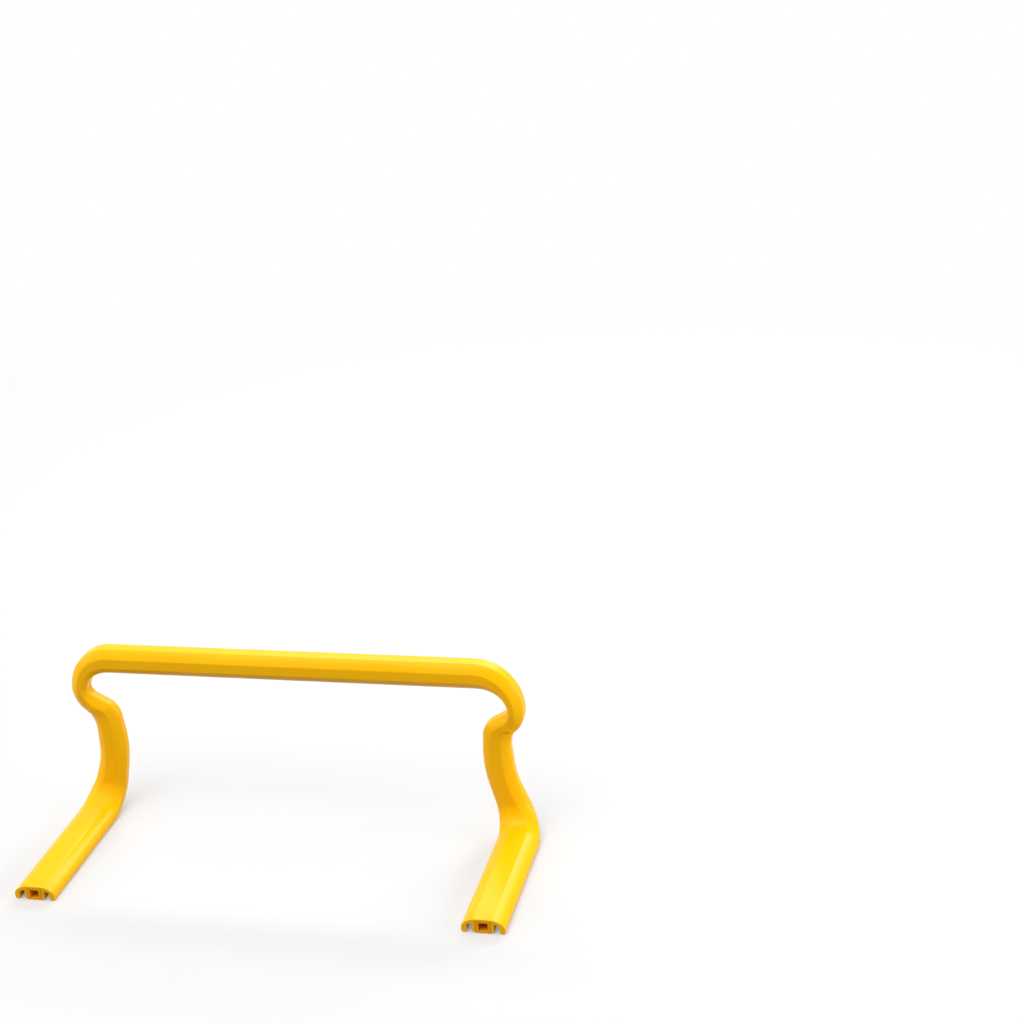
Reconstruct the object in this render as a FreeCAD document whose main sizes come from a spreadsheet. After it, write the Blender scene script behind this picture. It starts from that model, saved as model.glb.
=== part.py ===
import FreeCAD, Part
import Sketcher
import math
import os
from FreeCAD import Vector

# A low speed hurdle made of plastic strip: a crossbar with rounded shoulders, two bowed legs
# and two flat feet. X runs along the crossbar, the feet point to -Y and the floor is at Z = 0.
# The origin lies on the floor, below the middle of the hurdle's outer box.

doc = FreeCAD.newDocument("SpeedHurdle")
sheet = doc.addObject("Spreadsheet::Sheet", "dims")

dimensions = {
    # centre line of the arch, seen from the front
    "bar_straight": 362.0,
    "shoulder_radius": 36.4,
    "shoulder_turn": 80.4,
    "throat_radius": 19.7,
    "throat_turn": 64.1,
    "neck_straight": 2.0,
    "notch_radius": 4.0,
    "neck_turn": 39.3,
    "bow_radius": 123.0,
    "bow_turn": 31.7,
    "shin_straight": 12.2,
    "forward_lean": 1.6,
    # heel and foot, seen from the side
    "heel_inner_radius": 19.3,
    "foot_length": 135.6,
    # width of the strip at five places along its way
    "bar_width": 25.8,
    "shoulder_width": 15.6,
    "neck_width": 15.6,
    "leg_width": 28.1,
    "foot_width": 40.0,
    # width of the flat front face between the two sloped sides
    "bar_flat": 9.6,
    "shoulder_flat": 5.8,
    "neck_flat": 5.8,
    "leg_flat": 10.4,
    "foot_flat": 17.7,
    # depth of the strip
    "bar_depth": 18.0,
    "neck_depth": 16.0,
    "leg_depth": 14.1,
    # how far the sloped sides fall back: in all, down to their knee, and at the broken edge
    "side_fall": 5.2,
    "knee_fall": 1.8,
    "edge_break": 1.2,
    # where the knee lies between the flat and the outer edge
    "knee_share": 0.58,
    # walls of the skin
    "roof_wall": 2.0,
    "arch_side_wall": 2.4,
    "foot_side_wall": 4.4,
    # pairs of ribs under the skin
    "bar_rib_wall": 1.6,
    "foot_rib_wall": 2.6,
    "bar_rib_height": 9.0,
    "leg_rib_height": 9.6,
    # box tube between the ribs of each leg
    "core_leg_width": 11.0,
    "core_foot_width": 14.0,
    "core_height": 11.6,
    "core_leg_wall": 1.6,
    "core_foot_wall": 2.7,
    "core_roof_wall": 1.6,
    "core_floor_wall": 1.7,
    # peg between the ribs of each neck, and its reach into the bar and into the leg
    "plug_width": 4.6,
    "plug_height": 8.0,
    "plug_bar_reach": 5.5,
    "plug_leg_reach": 3.4,
    # room between two pieces, end to end and side by side
    "joint_gap": 0.2,
    "fit_gap": 0.2,
    # stretches over which the strip widens below the neck and above the heel
    "leg_spread": 9.5,
    "heel_spread": 13.9,
    # largest turn, in degrees, between two sections of a bend and of the heel
    "section_turn": 6.0,
    "heel_step": 8.0,
    # largest length of strip between two sections of a bend
    "section_reach": 5.0,
}

for row, (name, value) in enumerate(dimensions.items(), start=1):
    sheet.set(f"A{row}", name)
    sheet.set(f"B{row}", str(value))
    sheet.setAlias(f"B{row}", name)
doc.recompute()


def size(name):
    return float(sheet.get(name))


def turn_of(name):
    return math.radians(size(name))


# The plane of the arch leans forward over the feet, and the heel bends it down to the floor.

lean = turn_of("forward_lean")
up = Vector(0, -math.sin(lean), math.cos(lean))
front = Vector(0, -math.cos(lean), -math.sin(lean))
across = Vector(1, 0, 0)
heel_radius = size("heel_inner_radius") + size("leg_depth")
heel_turn = math.pi / 2 + lean
heel_top_y = heel_radius * math.sin(heel_turn)
heel_top_z = heel_radius * (1 - math.cos(heel_turn))
centre_shift = (size("foot_length") - heel_radius) / 2


# Lengths of strip, from the middle of the crossbar, at which its section has a named size.

first_turn = min(turn_of("shoulder_turn"), math.pi / 2)
bar_end = size("bar_straight") / 2
shoulder_peak = bar_end + size("shoulder_radius") * first_turn
shoulder_peak += size("throat_radius") * (math.pi / 2 - first_turn)
throat_end = bar_end + size("shoulder_radius") * turn_of("shoulder_turn")
throat_end += size("throat_radius") * turn_of("throat_turn")
neck_end = throat_end + size("neck_straight")
fan_radius = size("notch_radius") + (size("neck_width") + size("leg_width")) / 4
fan_end = neck_end + fan_radius * turn_of("neck_turn")
shin_end = fan_end + size("bow_radius") * turn_of("bow_turn") + size("shin_straight")
heel_end = shin_end + heel_radius * heel_turn
places = [
    bar_end,
    shoulder_peak,
    throat_end,
    neck_end,
    fan_end + size("leg_spread"),
    shin_end - size("heel_spread"),
    heel_end,
]


# A size of the section at a length of strip, eased from one place to the next.

def eased(names, way):
    values = [size(name) for name in names]
    if way <= places[0]:
        return values[0]
    for k in range(len(places) - 1):
        if way <= places[k + 1]:
            share = (way - places[k]) / (places[k + 1] - places[k])
            share = share * share * (3 - 2 * share)
            return values[k] + (values[k + 1] - values[k]) * share
    return values[-1]


stages = ("bar", "shoulder", "neck", "neck", "leg", "leg", "foot")
widths = [f"{stage}_width" for stage in stages]
flats = [f"{stage}_flat" for stage in stages]
depths = ["bar_depth"] * 2 + ["neck_depth"] * 2 + ["leg_depth"] * 3
side_walls = ["arch_side_wall"] * 6 + ["foot_side_wall"]
rib_walls = ["bar_rib_wall"] * 6 + ["foot_rib_wall"]
core_widths = ["plug_width"] * 4 + ["core_leg_width"] * 2 + ["core_foot_width"]
core_walls = ["core_leg_wall"] * 6 + ["core_foot_wall"]


# A station is one section's place: its point on the back of the strip, the directions of the
# section's width and depth, and the length of strip up to it.

class Station:
    def __init__(self, point, width_way, depth_way, way):
        self.point = point
        self.width_way = width_way
        self.depth_way = depth_way
        self.way = way

    def at(self, across_width, into_depth):
        return self.point + self.width_way * across_width + self.depth_way * into_depth

    def mirrored(self):
        point = Vector(-self.point.x, self.point.y, self.point.z)
        width_way = Vector(-self.width_way.x, self.width_way.y, self.width_way.z)
        return Station(point, width_way, self.depth_way, self.way)


# The centre line of the right half in the plane of the arch: straights and bends that follow
# each other from the middle of the crossbar. A turn towards the floor is positive.

class CentreLine:
    def __init__(self):
        self.x = 0.0
        self.rise = 0.0
        self.angle = 0.0
        self.way = 0.0
        self.spots = []

    def spot(self):
        return (self.x, self.rise, self.angle, self.way)

    def mark(self):
        self.spots.append(self.spot())

    def step(self, length, turn):
        chord = length
        if turn:
            chord = 2 * length / abs(turn) * math.sin(abs(turn) / 2)
        heading = self.angle - turn / 2
        self.x += chord * math.cos(heading)
        self.rise += chord * math.sin(heading)
        self.angle -= turn
        self.way += length

    def straight(self, length):
        self.step(length, 0.0)

    def arc(self, radius, turn):
        length = radius * abs(turn)
        count = math.ceil(max(abs(turn) / turn_of("section_turn"), length / size("section_reach")))
        for _ in range(count):
            self.mark()
            self.step(length / count, turn / count)
        self.mark()

    # The strip turns back about the notch at its outer edge, and widens as it turns.
    def fan(self, turn):
        count = math.ceil(turn / turn_of("section_turn"))
        reach = size("notch_radius") + eased(widths, self.way) / 2
        notch_x = self.x - reach * math.sin(self.angle)
        notch_rise = self.rise + reach * math.cos(self.angle)
        for _ in range(count):
            self.mark()
            self.angle += turn / count
            self.way += fan_radius * turn / count
            reach = size("notch_radius") + eased(widths, self.way) / 2
            self.x = notch_x + reach * math.sin(self.angle)
            self.rise = notch_rise - reach * math.cos(self.angle)


half_neck = size("neck_straight") / 2
half_gap = size("joint_gap") / 2

line = CentreLine()
line.straight(bar_end)
line.arc(size("shoulder_radius"), turn_of("shoulder_turn"))
line.spots.pop()
line.arc(size("throat_radius"), turn_of("throat_turn"))
line.straight(half_neck - half_gap)
line.mark()
bar_spots = line.spots
line.straight(half_gap)
joint_spot = line.spot()
line.straight(half_gap)
line.spots = [line.spot()]
line.straight(half_neck - half_gap)
line.fan(turn_of("neck_turn"))
neck_spots = line.spots
line.spots = []
line.arc(size("bow_radius"), -turn_of("bow_turn"))
bow_spots = line.spots
line.straight(size("shin_straight"))
shin_spot = line.spot()


def arch_station(spot):
    x, rise, angle, way = spot
    above_heel = up * (rise - shin_spot[1])
    point = Vector(x, heel_top_y + centre_shift, heel_top_z) + above_heel
    width_way = across * -math.sin(angle) + up * math.cos(angle)
    return Station(point, width_way, front, way)


# The heel: the strip bends forward and down to the floor round an axis along X, and its outward
# slant dies out. Its sections lie level, so they are wider by the slant that is left.

slant = math.pi / 2 + shin_spot[2]
sway = math.tan(slant) / math.cos(lean)


def heel_station(share):
    turn = heel_turn * (1 - share)
    y = heel_radius * math.sin(turn) + centre_shift
    z = heel_radius * (1 - math.cos(turn))
    x = shin_spot[0] + (heel_top_z - z) * sway
    width_way = across * math.hypot(1, sway * math.sin(turn))
    depth_way = Vector(0, -math.sin(turn), math.cos(turn))
    way = shin_end + heel_radius * heel_turn * share
    return Station(Vector(x, y, z), width_way, depth_way, way)


heel_steps = math.ceil(heel_turn / turn_of("heel_step"))
heel = [heel_station(k / heel_steps) for k in range(heel_steps + 1)]
foot_start = heel[-1]
toe_point = foot_start.point - Vector(0, size("foot_length"), 0)
toe = Station(toe_point, foot_start.width_way, foot_start.depth_way, heel_end + size("foot_length"))

right_bar = [arch_station(spot) for spot in bar_spots]
whole_bar = [station.mirrored() for station in reversed(right_bar)] + right_bar
right_core = [arch_station(spot) for spot in bow_spots] + heel + [toe]
right_leg = [arch_station(spot) for spot in neck_spots] + right_core


# The roof of the section: flat in the middle, then a gentle and a steep slope on each side.

class Roof:
    def __init__(self, way):
        self.half = eased(widths, way) / 2
        self.half_flat = eased(flats, way) / 2
        self.depth = eased(depths, way)
        self.knee = self.half_flat + size("knee_share") * (self.half - self.half_flat)
        self.gentle = size("knee_fall") / (self.knee - self.half_flat)
        self.steep = (size("side_fall") - size("knee_fall")) / (self.half - self.knee)

    def top(self, across_width):
        gentle_part = min(max(across_width - self.half_flat, 0.0), self.knee - self.half_flat)
        steep_part = max(across_width - self.knee, 0.0)
        return self.depth - gentle_part * self.gentle - steep_part * self.steep

    def under(self, across_width):
        return self.top(across_width) - size("roof_wall")


def rib_inside(way):
    return eased(core_widths, way) / 2 + size("fit_gap")


# A closed outline through corners (across, depth) at a station.

def outline(station, corners):
    points = [station.at(u, v) for u, v in corners]
    return Part.makePolygon(points + points[:1])


# The skin's section: the roof, a broken edge and a side wall on each side, open at the back,
# with a pair of ribs under the flat.

def skin_outline(station, rib_height):
    way = station.way
    roof = Roof(way)
    wall_inside = roof.half - eased(side_walls, way)
    edge_inside = roof.half - size("edge_break") / math.hypot(1, roof.steep)
    near = rib_inside(way)
    far = near + eased(rib_walls, way)
    rib_foot = roof.depth - size("roof_wall") - rib_height
    right_side = [
        (roof.half_flat, roof.depth),
        (roof.knee, roof.top(roof.knee)),
        (edge_inside, roof.top(edge_inside)),
        (roof.half, roof.top(roof.half) - size("edge_break")),
        (roof.half, 0),
        (wall_inside, 0),
        (wall_inside, roof.under(wall_inside)),
        (far, roof.under(far)),
        (far, rib_foot),
        (near, rib_foot),
        (near, roof.under(near)),
    ]
    left_side = [(-u, v) for u, v in reversed(right_side)]
    return outline(station, right_side + left_side)


def bar_skin(station):
    return skin_outline(station, size("bar_rib_height"))


def leg_skin(station):
    return skin_outline(station, size("leg_rib_height"))


# The box tube's section: it seats under the skin's roof, between the ribs.

def seat(way):
    return Roof(way).under(rib_inside(way)) - size("fit_gap")


def box_outline(station, half, low, high):
    return outline(station, [(half, high), (half, low), (-half, low), (-half, high)])


def core_outside(station):
    half = eased(core_widths, station.way) / 2
    high = seat(station.way)
    return box_outline(station, half, high - size("core_height"), high)


def core_hollow(station):
    half = eased(core_widths, station.way) / 2 - eased(core_walls, station.way)
    high = seat(station.way)
    low = high - size("core_height") + size("core_floor_wall")
    return box_outline(station, half, low, high - size("core_roof_wall"))


# A strip: its sides are lofted from section to section, and it is closed by a face at each end.

def strip(label, stations, outlines):
    faces = []
    for section in outlines:
        wires = [section(station) for station in stations]
        faces += Part.makeLoft(wires, False, True).Faces
    for station in (stations[0], stations[-1]):
        wires = [section(station) for section in outlines]
        faces.append(Part.makeFace(Part.Compound(wires), "Part::FaceMakerBullseye"))
    shell = Part.makeShell(faces)
    shell.sewShape()
    solid = Part.makeSolid(shell)
    if solid.Volume < 0:
        solid.reverse()
    feature = doc.addObject("Part::Feature", label)
    feature.Label = label
    feature.Shape = solid
    feature.Placement = FreeCAD.Placement()
    return feature


def mirrored(label, source):
    feature = doc.addObject("Part::Mirroring", label)
    feature.Label = label
    feature.Source = source
    feature.Base = Vector(0, 0, 0)
    feature.Normal = across
    return feature


crossbar_shell = strip("crossbar_shell", whole_bar, [bar_skin])
right_leg_shell = strip("right_leg_shell", right_leg, [leg_skin])
right_leg_core = strip("right_leg_core", right_core, [core_outside, core_hollow])


# The neck plug: a peg in the slot between the ribs. Its straight part crosses the joint into
# the leg, and its other end follows the bend of the throat.

plug_width = size("plug_width")
plug_height = size("plug_height")


def bind(sketch, constraint, rule):
    index = sketch.addConstraint(constraint)
    sketch.setExpression(f"Constraints[{index}]", rule)


# A rectangle on the plug's cross plane at the throat's end of the neck. Its middle lies beside
# the sketch's own origin.

def plug_section(body, name, beside_rule):
    plane = [plane for plane in body.Origin.OriginFeatures if plane.Role == "YZ_Plane"][0]
    sketch = body.newObject("Sketcher::SketchObject", name)
    sketch.AttachmentSupport = (plane, [""])
    sketch.MapMode = "FlatFace"
    sketch.setExpression("AttachmentOffset.Base.x", f"-({beside_rule})")
    sketch.setExpression("AttachmentOffset.Base.z", "-dims.neck_straight / 2")
    beside = float(sketch.evalExpression(beside_rule))
    left = beside - plug_width / 2
    right = beside + plug_width / 2
    low = -plug_height / 2
    high = plug_height / 2
    points = [Vector(left, low), Vector(right, low), Vector(right, high), Vector(left, high)]
    for k in range(4):
        sketch.addGeometry(Part.LineSegment(points[k], points[(k + 1) % 4]))
    for k in range(4):
        sketch.addConstraint(Sketcher.Constraint("Coincident", k, 2, (k + 1) % 4, 1))
    sketch.addConstraint(Sketcher.Constraint("Horizontal", 0))
    sketch.addConstraint(Sketcher.Constraint("Horizontal", 2))
    sketch.addConstraint(Sketcher.Constraint("Vertical", 3))
    sketch.addConstraint(Sketcher.Constraint("Symmetric", 1, 1, 1, 2, -1))
    bind(sketch, Sketcher.Constraint("DistanceX", 0, 1, 0, 2, plug_width), "dims.plug_width")
    bind(sketch, Sketcher.Constraint("DistanceY", 1, 1, 1, 2, plug_height), "dims.plug_height")
    left_rule = f"{beside_rule} - dims.plug_width / 2"
    bind(sketch, Sketcher.Constraint("DistanceX", -1, 1, 0, 1, left), left_rule)
    return sketch


right_neck_plug = doc.addObject("PartDesign::Body", "right_neck_plug")
right_neck_plug.Label = "right_neck_plug"
straight_end = right_neck_plug.newObject("PartDesign::Pad", "StraightEnd")
straight_end.Profile = plug_section(right_neck_plug, "StraightSection", "0")
straight_end.setExpression("Length", "dims.neck_straight + dims.plug_leg_reach")
doc.recompute()
throat_section = plug_section(right_neck_plug, "ThroatSection", "dims.throat_radius")
throat_bend = right_neck_plug.newObject("PartDesign::Revolution", "ThroatBend")
throat_bend.Profile = throat_section
throat_bend.ReferenceAxis = (throat_section, ["V_Axis"])
throat_bend.setExpression("Angle", "dims.plug_bar_reach / dims.throat_radius * 1 rad")
doc.recompute()
joint = arch_station(joint_spot)
plug_side = size("notch_radius") + (size("neck_width") - plug_width) / 2
tip_turn = math.atan(size("plug_leg_reach") / plug_side)
plug_depth = seat(neck_end + fan_radius * tip_turn) - plug_height / 2
along = joint.width_way.cross(joint.depth_way)
turn = FreeCAD.Rotation(along, joint.width_way, joint.depth_way, "XYZ")
right_neck_plug.Placement = FreeCAD.Placement(joint.at(0, plug_depth), turn)
doc.recompute()

pieces = [
    crossbar_shell,
    right_leg_shell,
    mirrored("left_leg_shell", right_leg_shell),
    right_leg_core,
    mirrored("left_leg_core", right_leg_core),
    right_neck_plug,
    mirrored("left_neck_plug", right_neck_plug),
]
doc.recompute()

for item in doc.Objects:
    if "Invalid" in item.State or "Error" in item.State:
        raise RuntimeError(f"{item.Label} failed")
for piece in pieces:
    if piece.Shape.isNull() or not piece.Shape.isValid():
        raise RuntimeError(f"{piece.Label} has no valid shape")

os.makedirs("parts", exist_ok=True)
for piece in pieces:
    piece.Shape.exportStep(f"parts/{piece.Label}.step")
    print(piece.Label, round(piece.Shape.Volume / 1000, 2), "cm3", piece.Shape.BoundBox)
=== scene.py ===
import math
import bmesh
import bpy
from mathutils import Matrix, Vector


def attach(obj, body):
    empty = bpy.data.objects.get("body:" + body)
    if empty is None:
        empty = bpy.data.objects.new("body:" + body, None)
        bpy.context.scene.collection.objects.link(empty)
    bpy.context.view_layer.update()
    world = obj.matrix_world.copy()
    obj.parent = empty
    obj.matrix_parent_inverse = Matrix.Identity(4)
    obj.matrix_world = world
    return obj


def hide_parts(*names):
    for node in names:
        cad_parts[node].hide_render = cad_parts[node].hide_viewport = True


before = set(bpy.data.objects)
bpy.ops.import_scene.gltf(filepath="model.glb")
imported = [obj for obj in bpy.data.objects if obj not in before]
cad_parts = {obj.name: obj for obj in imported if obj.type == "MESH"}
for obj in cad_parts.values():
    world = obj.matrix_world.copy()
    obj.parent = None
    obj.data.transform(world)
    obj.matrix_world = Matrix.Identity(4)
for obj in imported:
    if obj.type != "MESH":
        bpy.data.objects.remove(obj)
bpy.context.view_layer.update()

print("frame loaded:", sorted(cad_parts))


# Camera at the photograph's own place: one point of the hurdle, the pixel it lies on and its depth.

viewSettings = {
    "turn": 14.96,  # degrees round the hurdle, to its right
    "height": 22.97,  # degrees above the floor
    "tilt": 4.78,  # degrees the picture leans
    "imageSize": 1024,  # pixels
    "focalLength": 1900,  # pixels
    "sensorWidth": 36.0,  # millimetres
    "farLimit": 50.0,  # metres
    "anchor": (0.0, 0.0511, 0.0952),  # metres, in the plane of the arch
    "anchorPixel": (289.63, 747.28),
    "anchorDepth": 1.7887,  # metres from the camera
}


def viewAxes(look):
    turn = math.radians(look["turn"])
    height = math.radians(look["height"])
    level = math.cos(height)
    forward = Vector((-math.sin(turn) * level, math.cos(turn) * level, -math.sin(height)))
    right = Vector((math.cos(turn), math.sin(turn), 0.0))
    upward = right.cross(forward)
    lean = Matrix.Rotation(math.radians(look["tilt"]), 3, forward)
    return lean @ right, lean @ upward, forward


def makeCamera(look):
    right, upward, forward = viewAxes(look)
    middle = look["imageSize"] / 2
    aside, below = ((pixel - middle) / look["focalLength"] for pixel in look["anchorPixel"])
    ray = forward + right * aside - upward * below
    place = Vector(look["anchor"]) - ray * look["anchorDepth"]
    data = bpy.data.cameras.new("photoCamera")
    data.sensor_width = look["sensorWidth"]
    data.lens = look["focalLength"] / look["imageSize"] * look["sensorWidth"]
    data.clip_end = look["farLimit"]
    camera = bpy.data.objects.new("photoCamera", data)
    axes = Matrix((right, upward, -forward)).transposed().to_4x4()
    camera.matrix_world = Matrix.Translation(place) @ axes
    bpy.context.collection.objects.link(camera)
    bpy.context.scene.camera = camera
    print("camera at", [round(v, 3) for v in place])


makeCamera(viewSettings)


# The strip's sizes in millimetres. A row of seven has the sizes at the seven stripPlaces.

stripSettings = {
    "barStraight": 362.0,
    "shoulderRadius": 36.4,
    "shoulderTurn": 80.4,  # degrees, as are the other turns
    "throatRadius": 19.7,
    "throatTurn": 64.1,
    "neckStraight": 2.0,
    "notchRadius": 4.0,
    "neckTurn": 39.3,
    "bowRadius": 123.0,
    "bowTurn": 31.7,
    "shinStraight": 12.2,
    "forwardLean": 1.6,
    "heelInnerRadius": 19.3,
    "footLength": 135.6,
    "widths": (25.8, 15.6, 15.6, 15.6, 28.1, 28.1, 40.0),
    "flats": (9.6, 4.4, 5.0, 5.8, 10.4, 10.4, 17.7),
    "flatShifts": (0.0, -2.6, -1.8, -0.5, 0.0, 0.0, 0.0),  # the flat keeps to the inside of the shoulder
    "depths": (18.0, 18.0, 16.0, 16.0, 14.1, 14.1, 14.1),
    "sideWalls": (2.4, 2.4, 2.4, 2.4, 2.4, 2.4, 5.0),
    "ribWalls": (1.6, 1.6, 1.6, 1.6, 1.6, 1.6, 2.6),
    "ribGaps": (2.5, 2.5, 2.5, 2.5, 5.7, 5.7, 7.2),
    "sideSlopes": (0.58, 0.58, 0.58, 0.5, 0.44, 0.42, 0.32),  # share of the fall that is an even slope
    "sideFalls": (7.2, 7.2, 7.2, 7.2, 7.2, 7.2, 8.4),  # down to where the side is upright
    "sideSteps": 7,
    "crease": 0.3,  # half the width of the line between flat and side
    "wallRound": (0.42, 0.32),  # rounding of a wall's outer and inner foot, as shares of the wall
    "ribRound": 0.3,
    "roofWall": 2.0,
    "pocketRoofs": (2.0, 2.0, 2.0, 2.0, 2.0, 2.0, 3.8),  # between rib and wall
    "legSpread": 9.5,  # from the notch down to the leg's full width
    "heelSpread": 22.0,  # above the heel, where the leg starts to widen to the foot
    "edgeReach": 36.0,  # below the notch, over which the outer edge comes out
    "neckFill": (2.0, 3.2),  # the neck's inner and outer edge stand out by this
    "fillReach": 26.0,  # to both sides of the neck's middle
    "barRibHeight": 9.0,
    "legRibHeight": 11.2,  # down to the box tube's own foot
    "barRings": 3,  # in half the bar
    "shinRings": 2,
    "footRings": 4,
    "bendStep": 5.0,  # degrees between two rings
    "bendReach": 3.5,  # length between two rings of a bend
    "seam": 0.02,  # room at the neck's joint
    "startSize": 2.0,  # of the plane that becomes the first point
    "middleRoom": 0.001,  # faces this near the middle are the half bar's end
    "mergeReach": 0.01,  # where the bar's two halves join
}

neckWidth, legWidth = stripSettings["widths"][3:5]
fanRadius = stripSettings["notchRadius"] + (neckWidth + legWidth) / 4
heelRadius = stripSettings["heelInnerRadius"] + stripSettings["depths"][-1]
heelTurn = math.radians(90 + stripSettings["forwardLean"])


def stripPlaces(look):
    lift = math.radians(look["shoulderTurn"])
    barEnd = look["barStraight"] / 2
    shoulderEnd = barEnd + look["shoulderRadius"] * lift
    throatEnd = shoulderEnd + look["throatRadius"] * math.radians(look["throatTurn"])
    neckEnd = throatEnd + look["neckStraight"]
    notch = neckEnd + fanRadius * math.radians(look["neckTurn"])
    shinEnd = notch + look["bowRadius"] * math.radians(look["bowTurn"]) + look["shinStraight"]
    return {
        "barEnd": barEnd,
        "peak": shoulderEnd + look["throatRadius"] * (math.pi / 2 - lift),  # furthest out
        "throatEnd": throatEnd,
        "neckEnd": neckEnd,
        "legTop": notch + look["legSpread"],
        "legEnd": shinEnd - look["heelSpread"],
        "heelEnd": shinEnd + heelRadius * heelTurn,
    }


places = stripPlaces(stripSettings)


def metres(x, y, z):  # from the settings' millimetres
    return Vector((x, y, z)) / 1000


def smooth(share):
    share = min(max(share, 0), 1)
    return share * share * (3 - 2 * share)


def eased(values, way):  # a row's size at any length of strip
    stops = list(places.values())
    if way <= stops[0]:
        return values[0]
    for k in range(len(stops) - 1):
        if way <= stops[k + 1]:
            share = smooth((way - stops[k]) / (stops[k + 1] - stops[k]))
            return values[k] + (values[k + 1] - values[k]) * share
    return values[-1]


# How far the inner and outer edges near the neck stand out from the even strip.

def edgeShifts(look, way):
    notch = places["legTop"] - look["legSpread"]
    neckMiddle = (places["throatEnd"] + notch) / 2
    fill = smooth(1 - abs(way - neckMiddle) / look["fillReach"])
    inner, outer = (side * fill for side in look["neckFill"])
    if way > notch:
        start = eased(look["widths"], notch)
        wanted = (legWidth - start) * smooth((way - notch) / look["edgeReach"])
        given = min(eased(look["widths"], way), legWidth) - start
        outer += (wanted - given) / 2
    return inner, outer


# The flat's shift is less from corner to corner, and none at the wall.

def flatShift(look, way, number):
    return eased(look["flatShifts"], way) * max(1 - number / look["sideSteps"], 0)


def roundedCorner(corner, before, after, radius):  # three points in place of a square corner
    middle = 0.29  # share of the radius at which a quarter circle passes the corner
    shares = ((1, 0), (middle, middle), (0, 1))
    return [(corner[0] + radius * (a * before[0] + b * after[0]),
             corner[1] + radius * (a * before[1] + b * after[1])) for a, b in shares]


# Corners of one side of the section, as (aside, depth): flat, rounded side, wall, rib.

def sectionCorners(look, way, ribHeight):
    half = (eased(look["widths"], way) + sum(edgeShifts(look, way))) / 2
    flat = eased(look["flats"], way) / 2
    depth = eased(look["depths"], way)
    even = eased(look["sideSlopes"], way)
    fall = eased(look["sideFalls"], way)

    def top(aside):
        share = min(max(aside - flat, 0) / (half - flat), 1)
        return depth - fall * (even * share + (1 - even) * (1 - math.sqrt(1 - share * share)))

    corners = [(flat - look["crease"], depth)]
    for k in range(look["sideSteps"] + 1):
        aside = flat + (half - flat) * math.sin(math.pi / 2 * k / look["sideSteps"])
        aside = max(aside, flat + look["crease"])
        corners.append((aside, top(aside)))
    wall = eased(look["sideWalls"], way)
    inside = half - wall
    outerRound, innerRound = look["wallRound"]
    corners += roundedCorner((half, 0), (0, 1), (-1, 0), wall * outerRound)
    corners += roundedCorner((inside, 0), (1, 0), (0, 1), wall * innerRound)
    pocketRoof = eased(look["pocketRoofs"], way)
    near = eased(look["ribGaps"], way)
    far = near + eased(look["ribWalls"], way)
    ribFoot = depth - look["roofWall"] - ribHeight
    tip = (far - near) * look["ribRound"]
    corners.append((inside, top(inside) - pocketRoof))
    corners.append((far, top(far) - pocketRoof))
    corners += roundedCorner((far, ribFoot), (0, 1), (-1, 0), tip)
    corners += roundedCorner((near, ribFoot), (1, 0), (0, 1), tip)
    corners.append((near, top(near) - look["roofWall"]))
    return corners


# The strip is planned straight along X, ring by ring, with the bends that its rings take later.

class StripPlan:
    def __init__(self, look):
        self.look = look
        self.rings = []  # place along the straight strip, shift aside, length of strip
        self.bends = []  # first ring that turns, pivot's place, pivot's side, turn
        self.place = 0.0
        self.shift = 0.0
        self.way = 0.0

    def ring(self):
        inner, outer = edgeShifts(self.look, self.way)
        self.rings.append((self.place, self.shift + (outer - inner) / 2, self.way))

    def bend(self, place, side, turn):
        self.bends.append((len(self.rings), place, side, turn))

    def straight(self, length, count=1):
        for _ in range(count):
            self.place += length / count
            self.way += length / count
            self.ring()

    def arc(self, radius, turn):
        length = radius * math.radians(abs(turn))
        count = math.ceil(max(abs(turn) / self.look["bendStep"], length / self.look["bendReach"]))
        step = length / count
        for _ in range(count):
            self.place += step
            self.way += step
            self.bend(self.place - step / 2, self.shift, turn / count)
            self.ring()

    def fan(self, turn):  # turns back about the notch and widens
        count = math.ceil(turn / self.look["bendStep"])
        width = eased(self.look["widths"], self.way)
        pivot = self.look["notchRadius"] + width / 2
        for _ in range(count):
            self.way += fanRadius * math.radians(turn) / count
            self.shift = (width - eased(self.look["widths"], self.way)) / 2
            self.bend(self.place, pivot, -turn / count)
            self.ring()

    def heel(self, slant):  # its outward slant dies out while it rolls forward
        self.heelTop = self.bentHeight(self.place, self.shift)
        self.heelSteps = math.ceil(math.degrees(heelTurn) / self.look["bendStep"])
        sway = math.tan(slant) / math.cos(math.radians(self.look["forwardLean"]))
        step = heelRadius * heelTurn / self.heelSteps
        lean = slant
        for k in range(self.heelSteps):
            turn = heelTurn * (1 - (k + 1) / self.heelSteps)
            nextLean = math.atan(sway * math.sin(turn))
            along = step / math.cos((lean + nextLean) / 2)
            self.place += along
            self.way += step
            self.bend(self.place - along / 2, self.shift, math.degrees(lean - nextLean))
            self.ring()
            lean = nextLean

    def nextPiece(self):  # goes on behind a seam, with all that was bent before
        self.rings = []
        self.bends = [(0, place, side, turn) for _, place, side, turn in self.bends]
        self.place += self.look["seam"]
        self.way += self.look["seam"]

    def bentHeight(self, x, z):  # where a point of the straight strip comes to lie
        for _, place, side, turn in reversed(self.bends):
            angle = math.radians(turn)
            x, z = x - place, z - side
            x, z = x * math.cos(angle) + z * math.sin(angle), z * math.cos(angle) - x * math.sin(angle)
            x, z = x + place, z + side
        return z


def planCrossbar(plan):  # its right half
    look = plan.look
    plan.ring()
    plan.straight(look["barStraight"] / 2, look["barRings"])
    plan.arc(look["shoulderRadius"], look["shoulderTurn"])
    plan.arc(look["throatRadius"], look["throatTurn"])
    plan.straight((look["neckStraight"] - look["seam"]) / 2)


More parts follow.
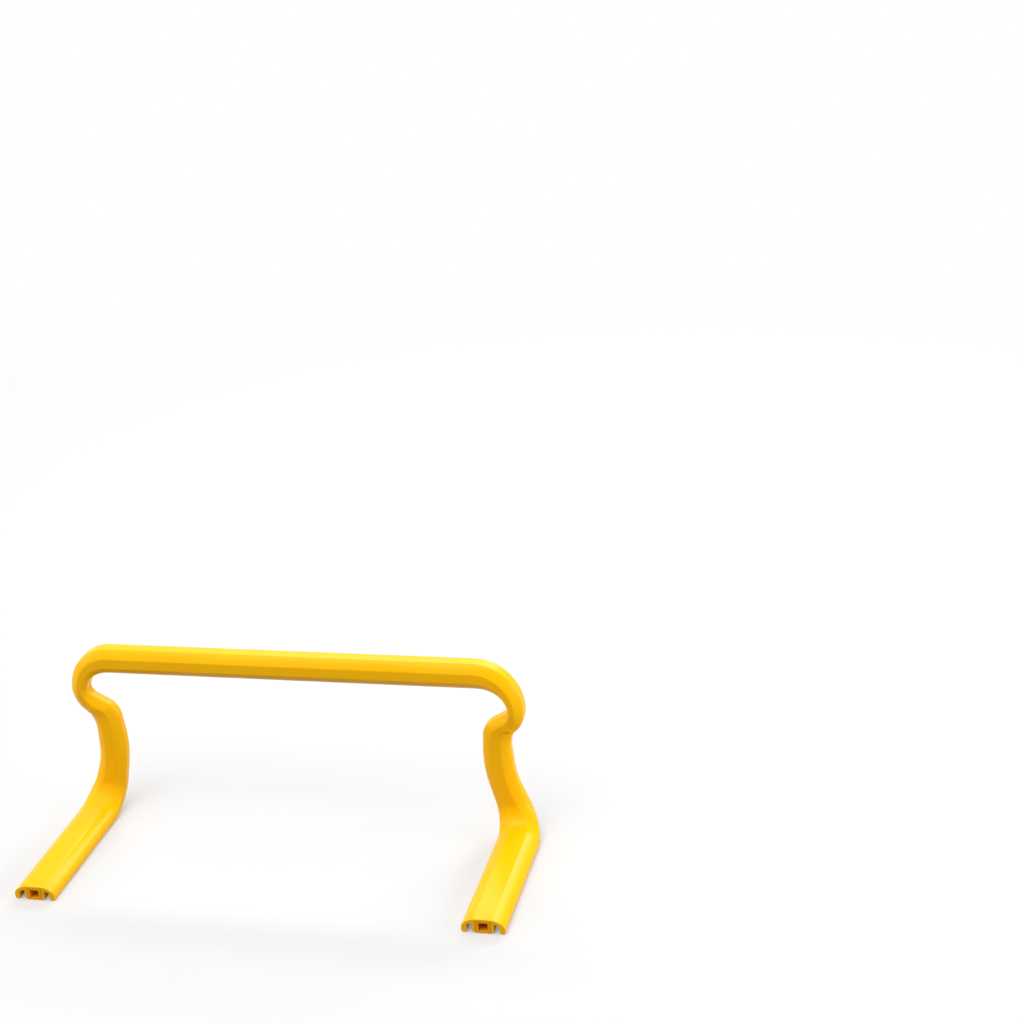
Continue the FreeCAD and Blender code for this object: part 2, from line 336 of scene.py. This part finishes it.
def planRightLeg(plan):
    look = plan.look
    plan.nextPiece()
    plan.ring()
    plan.straight((look["neckStraight"] - look["seam"]) / 2)
    plan.fan(look["neckTurn"])
    plan.arc(look["bowRadius"], -look["bowTurn"])
    plan.straight(look["shinStraight"], look["shinRings"])
    slant = 90 - look["shoulderTurn"] - look["throatTurn"] + look["neckTurn"] + look["bowTurn"]
    plan.heel(math.radians(slant))
    plan.straight(look["footLength"], look["footRings"])


def pickPiece(piece):
    bpy.ops.object.select_all(action="DESELECT")
    piece.select_set(True)
    bpy.context.view_layer.objects.active = piece


def openPiece(piece):
    pickPiece(piece)
    bpy.ops.object.mode_set(mode="EDIT")


def closePiece():
    bpy.ops.object.mode_set(mode="OBJECT")


def pickVerts(piece, wanted):
    form = bmesh.from_edit_mesh(piece.data)
    ring = form.verts.layers.int["ring"]
    corner = form.verts.layers.int["corner"]
    for vert in form.verts:
        vert.select_set(wanted(vert, vert[ring], vert[corner]))
    form.select_flush(True)
    bmesh.update_edit_mesh(piece.data)


def turnPicked(angle, axis, centre):
    bpy.ops.transform.rotate(
        value=-math.radians(angle), orient_axis=axis, orient_type="GLOBAL",
        center_override=centre)  # headless, the operator turns the other way


def faceOutwards():
    bpy.ops.mesh.select_all(action="SELECT")
    bpy.ops.mesh.normals_make_consistent(inside=False)


def startPoint(name, size):  # a small plane, merged at its centre
    bpy.ops.object.select_all(action="DESELECT")
    bpy.ops.mesh.primitive_plane_add(size=size / 1000)
    piece = bpy.context.object
    piece.name = piece.data.name = name
    bpy.ops.object.mode_set(mode="EDIT")
    bpy.ops.mesh.select_mode(type="VERT")
    bpy.ops.mesh.select_all(action="SELECT")
    bpy.ops.mesh.merge(type="CENTER")
    return piece


# The first section is a chain of extruded points, up one side and down the other, and filled.

def drawSection(plan, corners):
    place, shift, way = plan.rings[0]
    sides = []
    for sign in (1, -1):
        sides.append([
            metres(place, -depth, shift + flatShift(plan.look, way, number) + sign * aside)
            for number, (aside, depth) in enumerate(corners)])
    points = sides[0] + sides[1][::-1]
    bpy.ops.transform.translate(value=points[0])
    for before, after in zip(points, points[1:]):
        bpy.ops.mesh.extrude_region_move(TRANSFORM_OT_translate={"value": after - before})
    bpy.ops.mesh.select_all(action="SELECT")
    bpy.ops.mesh.edge_face_add()
    return points


# Every vertex keeps its ring and corner for the bending, and its place on the strip for the plastic.

def markSection(piece, plan, corners, points):
    form = bmesh.from_edit_mesh(piece.data)
    cornerMark = form.verts.layers.int.new("corner")
    form.verts.layers.int.new("ring")
    alongMark = form.verts.layers.float.new("along")  # metres of strip from the middle of the bar
    acrossMark = form.verts.layers.float.new("across")  # round the section, 1 at the flat's edge
    ways = [corners[0][0]]
    for before, after in zip(corners, corners[1:]):
        ways.append(ways[-1] + math.dist(before, after))
    for vert in form.verts:
        nearest = min(range(len(points)), key=lambda k: (points[k] - vert.co).length)
        number = min(nearest, len(points) - 1 - nearest)  # both sides share a number
        vert[cornerMark] = number
        vert[alongMark] = plan.rings[0][2] / 1000
        vert[acrossMark] = math.copysign(ways[number] / (ways[0] + plan.look["crease"]), vert.co.z)
    bmesh.update_edit_mesh(piece.data)


def extrudeRing(piece, plan, number):
    before, after = plan.rings[number - 1:number + 1]
    step = metres(after[0] - before[0], 0, after[1] - before[1])
    bpy.ops.mesh.extrude_region_move(TRANSFORM_OT_translate={"value": step})
    form = bmesh.from_edit_mesh(piece.data)
    ringMark = form.verts.layers.int["ring"]
    alongMark = form.verts.layers.float["along"]
    for vert in form.verts:
        if vert.select:
            vert[ringMark] = number
            vert[alongMark] = after[2] / 1000
    bmesh.update_edit_mesh(piece.data)


# A new ring's pairs of corners are moved from the size of the last section to that of its own.

def fitRing(piece, plan, number, ribHeight):
    look = plan.look
    oldWay = plan.rings[number - 1][2]
    place, shift, way = plan.rings[number]
    older = sectionCorners(look, oldWay, ribHeight)
    newer = sectionCorners(look, way, ribHeight)
    for pair, (old, new) in enumerate(zip(older, newer)):
        oldShift = flatShift(look, oldWay, pair)
        newShift = flatShift(look, way, pair)
        if old != new or oldShift != newShift:
            pickVerts(piece, lambda vert, ring, corner: ring == number and corner == pair)
            bpy.ops.transform.resize(
                value=(1, 1, new[0] / old[0]), center_override=metres(place, 0, shift + oldShift))
            bpy.ops.transform.translate(value=metres(0, old[1] - new[1], newShift - oldShift))
    pickVerts(piece, lambda vert, ring, corner: ring == number)


# Bent from the far end, so that each pivot still lies on the straight part.

def bendInPlane(piece, plan):
    for first, place, side, turn in reversed(plan.bends):
        pickVerts(piece, lambda vert, ring, corner: ring >= first)
        turnPicked(turn, "Y", metres(place, 0, side))


def modelStrip(name, plan, ribHeight):
    piece = startPoint(name, plan.look["startSize"])
    corners = sectionCorners(plan.look, plan.rings[0][2], ribHeight)
    points = drawSection(plan, corners)
    markSection(piece, plan, corners, points)
    for number in range(1, len(plan.rings)):
        extrudeRing(piece, plan, number)
        fitRing(piece, plan, number, ribHeight)
    bendInPlane(piece, plan)
    return piece


def rollHeel(piece, plan):
    form = bmesh.from_edit_mesh(piece.data)
    drops = {vert.index: plan.heelTop - vert.co.z * 1000 for vert in form.verts}
    step = heelRadius * heelTurn / plan.heelSteps
    for k in reversed(range(plan.heelSteps)):
        line = (k + 0.5) * step
        pickVerts(piece, lambda vert, ring, corner: drops[vert.index] > line)
        turnPicked(-math.degrees(heelTurn) / plan.heelSteps, "X", metres(0, 0, plan.heelTop - line))


# The open piece leans forward and comes to its place over the feet.

def standUp(plan):
    back = heelRadius * math.sin(heelTurn) + (plan.look["footLength"] - heelRadius) / 2
    height = heelRadius * (1 - math.cos(heelTurn))
    bpy.ops.mesh.select_all(action="SELECT")
    turnPicked(plan.look["forwardLean"], "X", metres(0, 0, plan.heelTop))
    bpy.ops.transform.translate(value=metres(0, back, height - plan.heelTop))
    faceOutwards()
    closePiece()


def mirrorCrossbar(piece, look):
    openPiece(piece)
    bpy.ops.mesh.select_mode(type="FACE")
    form = bmesh.from_edit_mesh(piece.data)
    for face in form.faces:
        face.select_set(all(abs(vert.co.x) < look["middleRoom"] / 1000 for vert in face.verts))
    bmesh.update_edit_mesh(piece.data)
    bpy.ops.mesh.delete(type="FACE")
    closePiece()
    mirror = piece.modifiers.new("leftHalf", "MIRROR")
    mirror.merge_threshold = look["mergeReach"] / 1000
    bpy.ops.object.modifier_apply(modifier="leftHalf")
    openPiece(piece)
    faceOutwards()
    closePiece()


def copyLeftLeg(rightLeg):
    leftLeg = rightLeg.copy()
    leftLeg.data = rightLeg.data.copy()
    leftLeg.name = leftLeg.data.name = "leftLegSkin"
    bpy.context.collection.objects.link(leftLeg)
    openPiece(leftLeg)
    bpy.ops.mesh.select_all(action="SELECT")
    bpy.ops.transform.resize(value=(-1, 1, 1), center_override=(0, 0, 0))
    faceOutwards()
    closePiece()
    return leftLeg


softSettings = {"toeEdge": 0.4, "segments": 3, "smoothAngle": 50.0}  # millimetres, degrees


def bevelToe(piece, look, toe):
    form = bmesh.new()
    form.from_mesh(piece.data)
    ring = form.verts.layers.int["ring"]
    weight = form.edges.layers.float.new("toeEdge")
    for edge in form.edges:
        edge[weight] = all(vert[ring] == toe for vert in edge.verts)
    form.to_mesh(piece.data)
    form.free()
    bevel = piece.modifiers.new("toeEdge", "BEVEL")
    bevel.limit_method = "WEIGHT"
    bevel.edge_weight = "toeEdge"
    bevel.width = look["toeEdge"] / 1000
    bevel.segments = look["segments"]
    bpy.ops.object.modifier_apply(modifier="toeEdge")


def smoothFaces(piece, look):
    bpy.ops.object.shade_smooth_by_angle(angle=math.radians(look["smoothAngle"]))
    normals = piece.modifiers.new("normals", "WEIGHTED_NORMAL")
    normals.keep_sharp = True
    bpy.ops.object.modifier_apply(modifier="normals")
    print(piece.name, "has", len(piece.data.polygons), "faces")


def makeSkins(look):
    plan = StripPlan(look)
    planCrossbar(plan)
    crossbar = modelStrip("crossbarSkin", plan, look["barRibHeight"])
    closePiece()
    planRightLeg(plan)
    rightLeg = modelStrip("rightLegSkin", plan, look["legRibHeight"])
    rollHeel(rightLeg, plan)
    standUp(plan)
    openPiece(crossbar)
    standUp(plan)
    mirrorCrossbar(crossbar, look)
    leftLeg = copyLeftLeg(rightLeg)
    toe = len(plan.rings) - 1
    for piece in (crossbar, rightLeg, leftLeg):
        pickPiece(piece)
        if piece is not crossbar:
            bevelToe(piece, softSettings, toe)
        smoothFaces(piece, softSettings)
    return crossbar, rightLeg, leftLeg


skins = makeSkins(stripSettings)
for piece, node in zip(skins, ("crossbar_shell", "right_leg_shell", "left_leg_shell")):
    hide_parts(node)
    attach(piece, "root")


# Shader maths: a wire is one socket, and sums of wires become nodes.

class Wire:
    def __init__(self, paint, socket):
        self.paint = paint
        self.socket = socket

    def maths(self, operation, first, second=0.0):
        return self.paint.node("ShaderNodeMath", {"operation": operation}, {0: first, 1: second}, "Value")

    def __add__(self, other):
        return self.maths("ADD", self, other)

    def __radd__(self, other):
        return self.maths("ADD", other, self)

    def __sub__(self, other):
        return self.maths("SUBTRACT", self, other)

    def __rsub__(self, other):
        return self.maths("SUBTRACT", other, self)

    def __mul__(self, other):
        return self.maths("MULTIPLY", self, other)

    def __rmul__(self, other):
        return self.maths("MULTIPLY", other, self)

    def __truediv__(self, other):
        return self.maths("DIVIDE", self, other)

    def __rtruediv__(self, other):
        return self.maths("DIVIDE", other, self)

    def __abs__(self):
        return self.maths("ABSOLUTE", self)


class Paint:
    def __init__(self, owner):  # a material or the world
        self.owner = owner
        owner.use_nodes = True
        self.tree = owner.node_tree
        self.tree.nodes.clear()

    def node(self, kind, settings, sockets, output):
        made = self.tree.nodes.new(kind)
        for name, value in settings.items():
            setattr(made, name, value)
        for name, value in sockets.items():
            if isinstance(value, Wire):
                self.tree.links.new(value.socket, made.inputs[name])
            else:
                made.inputs[name].default_value = value
        return Wire(self, made.outputs[output]) if output is not None else made

    def noise(self, place, scale, detail=2.0):
        sockets = {"Vector": place, "Scale": scale, "Detail": detail}
        return self.node("ShaderNodeTexNoise", {}, sockets, "Fac")

    def blend(self, share, first, second):
        return self.node("ShaderNodeMix", {"data_type": "RGBA"}, {0: share, 6: first, 7: second}, 2)

    def clamped(self, value):
        return self.node("ShaderNodeClamp", {}, {"Value": value}, "Result")

    def patches(self, noise, spread):  # noise times the first, less the second, from 0 to 1
        return self.clamped(noise * spread[0] - spread[1])

    def seenRays(self):  # rays from the camera, also through gloss and glass
        kinds = ("Is Camera Ray", "Is Glossy Ray", "Is Transmission Ray")
        seen = [self.node("ShaderNodeLightPath", {}, {}, kind) for kind in kinds]
        return self.clamped(seen[0] + seen[1] + seen[2])

    def plastic(self, look, colour, roughness, height):
        bump = self.node("ShaderNodeBump", {}, {
            "Height": height, "Strength": look["bumpStrength"], "Distance": look["bumpDepth"]}, "Normal")
        shader = self.node("ShaderNodeBsdfPrincipled", {}, {
            "Base Color": colour, "Roughness": roughness, "Normal": bump,
            "Specular IOR Level": look["gloss"]}, "BSDF")
        self.node("ShaderNodeOutputMaterial", {}, {"Surface": shader}, None)
        return self.owner


skinSettings = {
    "colour": (1.0, 0.525, 0.002, 1.0),
    "deepColour": (0.975, 0.485, 0.001, 1.0),
    "paleColour": (1.0, 0.60, 0.03, 1.0),
    "cloudScale": 13.0,  # per metre, as are the other scales
    "fleckScale": 420.0,
    "rippleScale": 55.0,
    "grainScale": 1500.0,
    "lines": (7.0, 9.0),  # faint lines of flow: along a metre, and across half the flat
    "cloudSpread": (1.6, 0.3),
    "lineShare": 0.3,
    "wearWidth": 0.16,  # of half the flat
    "wearFlecks": (3.0, 1.2),
    "wearClouds": (4.0, 1.5),
    "wearShare": 0.5,
    "roughness": 0.25,
    "cloudRoughness": 0.1,
    "lineRoughness": 0.08,
    "fleckRoughness": 0.06,
    "wearRoughness": 0.15,
    "rippleHeight": 0.06,  # of bumpDepth, as are the other heights
    "lineHeight": 0.03,
    "grainHeight": 0.05,
    "wearDepth": 0.1,
    "bumpStrength": 0.3,
    "bumpDepth": 0.0006,  # metres
    "gloss": 0.085,
}


def skinPlastic(look):
    paint = Paint(bpy.data.materials.new("yellowSkin"))
    place = paint.node("ShaderNodeTexCoord", {}, {}, "Object")
    along = paint.node("ShaderNodeAttribute", {"attribute_name": "along"}, {}, "Fac")
    across = paint.node("ShaderNodeAttribute", {"attribute_name": "across"}, {}, "Fac")
    cloud = paint.noise(place, look["cloudScale"], detail=3.0)
    fleck = paint.noise(place, look["fleckScale"])
    ripple = paint.noise(place, look["rippleScale"], detail=1.0)
    grain = paint.noise(place, look["grainScale"], detail=1.0)
    flow = paint.node(
        "ShaderNodeCombineXYZ", {}, {0: along * look["lines"][0], 1: across * look["lines"][1]}, "Vector")
    lines = paint.noise(flow, 1.0, detail=3.0)
    edge = paint.clamped(1 - abs(abs(across) - 1) / look["wearWidth"])
    wear = edge * paint.patches(fleck, look["wearFlecks"]) * paint.patches(cloud, look["wearClouds"])
    colour = paint.blend(paint.patches(cloud, look["cloudSpread"]), look["deepColour"], look["colour"])
    colour = paint.blend(lines * look["lineShare"] * fleck, colour, look["deepColour"])
    colour = paint.blend(wear * look["wearShare"], colour, look["paleColour"])
    roughness = look["roughness"] + (cloud - 0.5) * look["cloudRoughness"]
    roughness = roughness + (lines - 0.5) * look["lineRoughness"]
    roughness = roughness + (fleck - 0.5) * look["fleckRoughness"] + wear * look["wearRoughness"]
    height = ripple * look["rippleHeight"] + lines * look["lineHeight"] + grain * look["grainHeight"]
    return paint.plastic(look, colour, roughness, height - wear * look["wearDepth"])


coreSettings = {
    # Both yellows are deeper than the skin's: painted shade for the hollow inside the box tube. Between
    # them the tone varies at random.
    "colour": (0.96, 0.42, 0.002, 1.0),
    "deepColour": (0.86, 0.33, 0.001, 1.0),
    "cloudScale": 24.0,
    "fleckScale": 600.0,
    "grainScale": 1200.0,
    "cloudSpread": (1.4, 0.2),
    "fleckShare": 0.25,
    "roughness": 0.44,
    "cloudRoughness": 0.12,
    "fleckRoughness": 0.1,
    "fleckHeight": 0.6,
    "grainHeight": 0.4,
    "bumpStrength": 0.25,
    "bumpDepth": 0.0004,
    "gloss": 0.12,
}


def corePlastic(look):
    paint = Paint(bpy.data.materials.new("yellowCore"))
    place = paint.node("ShaderNodeTexCoord", {}, {}, "Object")
    cloud = paint.noise(place, look["cloudScale"], detail=3.0)
    fleck = paint.noise(place, look["fleckScale"])
    grain = paint.noise(place, look["grainScale"], detail=1.0)
    # Deeper than the skin's yellow, as painted shade for the hollow, with the tone varying at random over
    # it.
    colour = paint.blend(paint.patches(cloud, look["cloudSpread"]), look["deepColour"], look["colour"])
    colour = paint.blend(fleck * look["fleckShare"], colour, look["deepColour"])
    roughness = look["roughness"] + (cloud - 0.5) * look["cloudRoughness"]
    roughness = roughness + (fleck - 0.5) * look["fleckRoughness"]
    height = fleck * look["fleckHeight"] + grain * look["grainHeight"]
    return paint.plastic(look, colour, roughness, height)


skin = skinPlastic(skinSettings)
core = corePlastic(coreSettings)
for name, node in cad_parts.items():
    node.data.materials.clear()
    node.data.materials.append(skin if name.endswith("_shell") else core)
for piece in skins:
    piece.data.materials.append(skin)
print("materials on", len(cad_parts), "nodes and", len(skins), "skins")


floorSettings = {
    "size": 40.0,
    "bounceColour": (0.27, 0.27, 0.27, 1.0),  # for the light that it throws back
    "seenColour": (0.655, 0.655, 0.655, 1.0),
    "white": 0.2,  # share of plain white in what is seen, the rest keeps the shadow
    "whiteReach": 2.5,  # metres from the hurdle to where it is all white
}


def paleFloor(look):
    paint = Paint(bpy.data.materials.new("paleFloor"))
    seen = paint.seenRays()
    colour = paint.blend(seen, look["bounceColour"], look["seenColour"])
    dull = paint.node("ShaderNodeBsdfDiffuse", {}, {"Color": colour}, "BSDF")
    white = paint.node("ShaderNodeEmission", {}, {"Color": (1, 1, 1, 1), "Strength": 1.0}, "Emission")
    place = paint.node("ShaderNodeTexCoord", {}, {}, "Object")
    away = paint.node("ShaderNodeVectorMath", {"operation": "LENGTH"}, {0: place}, "Value")
    share = paint.clamped(look["white"] + away / look["whiteReach"])
    mixed = paint.node("ShaderNodeMixShader", {}, {0: seen * share, 1: dull, 2: white}, "Shader")
    paint.node("ShaderNodeOutputMaterial", {}, {"Surface": mixed}, None)
    return paint.owner


def makeFloor(look):
    bpy.ops.object.select_all(action="DESELECT")
    bpy.ops.mesh.primitive_plane_add(size=look["size"])
    floor = bpy.context.object
    floor.name = "floor"
    floor.data.materials.append(paleFloor(look))
    print("floor laid")


makeFloor(floorSettings)


lightSettings = {
    "skyLevel": 0.24,  # on the hurdle, while the sky itself looks white
    "topSun": {"from": (-0.4, -0.22, 0.89), "strength": 1.42, "spread": 90.0},  # degrees
    "boxes": [
        # name, place, aimed at, width, height, watts
        ("frontBox", (-0.3, -0.9, 2.2), (0, 0, 0.08), 1.6, 1.2, 25.0),
        ("leftBox", (-2.3, -0.3, 0.9), (0, 0, 0.08), 1.2, 1.0, 13.0),
        ("rightBox", (2.3, -0.1, 0.6), (0, 0, 0.08), 1.2, 1.0, 34.0),
        ("backBox", (0.0, 1.6, 1.25), (0, 0, 0.08), 2.4, 0.6, 4.5),
        ("leftBackBox", (-0.12, 1.5, 1.42), (-0.21, 0, 0.02), 1.25, 0.2, 12.5),
        ("rightBackBox", (0.62, 1.5, 1.1), (0.21, 0, 0.02), 0.8, 0.2, 6.2),
    ],
}


def makeStudio(look):  # an even sky that looks white
    world = bpy.data.worlds.new("studio")
    bpy.context.scene.world = world
    paint = Paint(world)
    white = (1, 1, 1, 1)
    sky = paint.node("ShaderNodeBackground", {}, {"Color": white, "Strength": look["skyLevel"]}, 0)
    backdrop = paint.node("ShaderNodeBackground", {}, {"Color": white, "Strength": 1.0}, 0)
    mixed = paint.node("ShaderNodeMixShader", {}, {0: paint.seenRays(), 1: sky, 2: backdrop}, 0)
    paint.node("ShaderNodeOutputWorld", {}, {"Surface": mixed}, None)


def placeLight(name, kind, place, target):
    data = bpy.data.lights.new(name, kind)
    lamp = bpy.data.objects.new(name, data)
    lamp.location = place
    lamp.rotation_euler = (Vector(target) - Vector(place)).to_track_quat("-Z", "Y").to_euler()
    bpy.context.collection.objects.link(lamp)
    return data


def makeLights(look):
    sun = placeLight("topSun", "SUN", look["topSun"]["from"], (0, 0, 0))
    sun.energy = look["topSun"]["strength"]
    sun.angle = math.radians(look["topSun"]["spread"])
    for name, place, target, width, height, watts in look["boxes"]:
        box = placeLight(name, "AREA", place, target)
        box.shape = "RECTANGLE"
        box.size = width
        box.size_y = height
        box.energy = watts
    print("lights placed:", 1 + len(look["boxes"]))


makeStudio(lightSettings)
makeLights(lightSettings)
bpy.context.scene.view_settings.view_transform = "Standard"
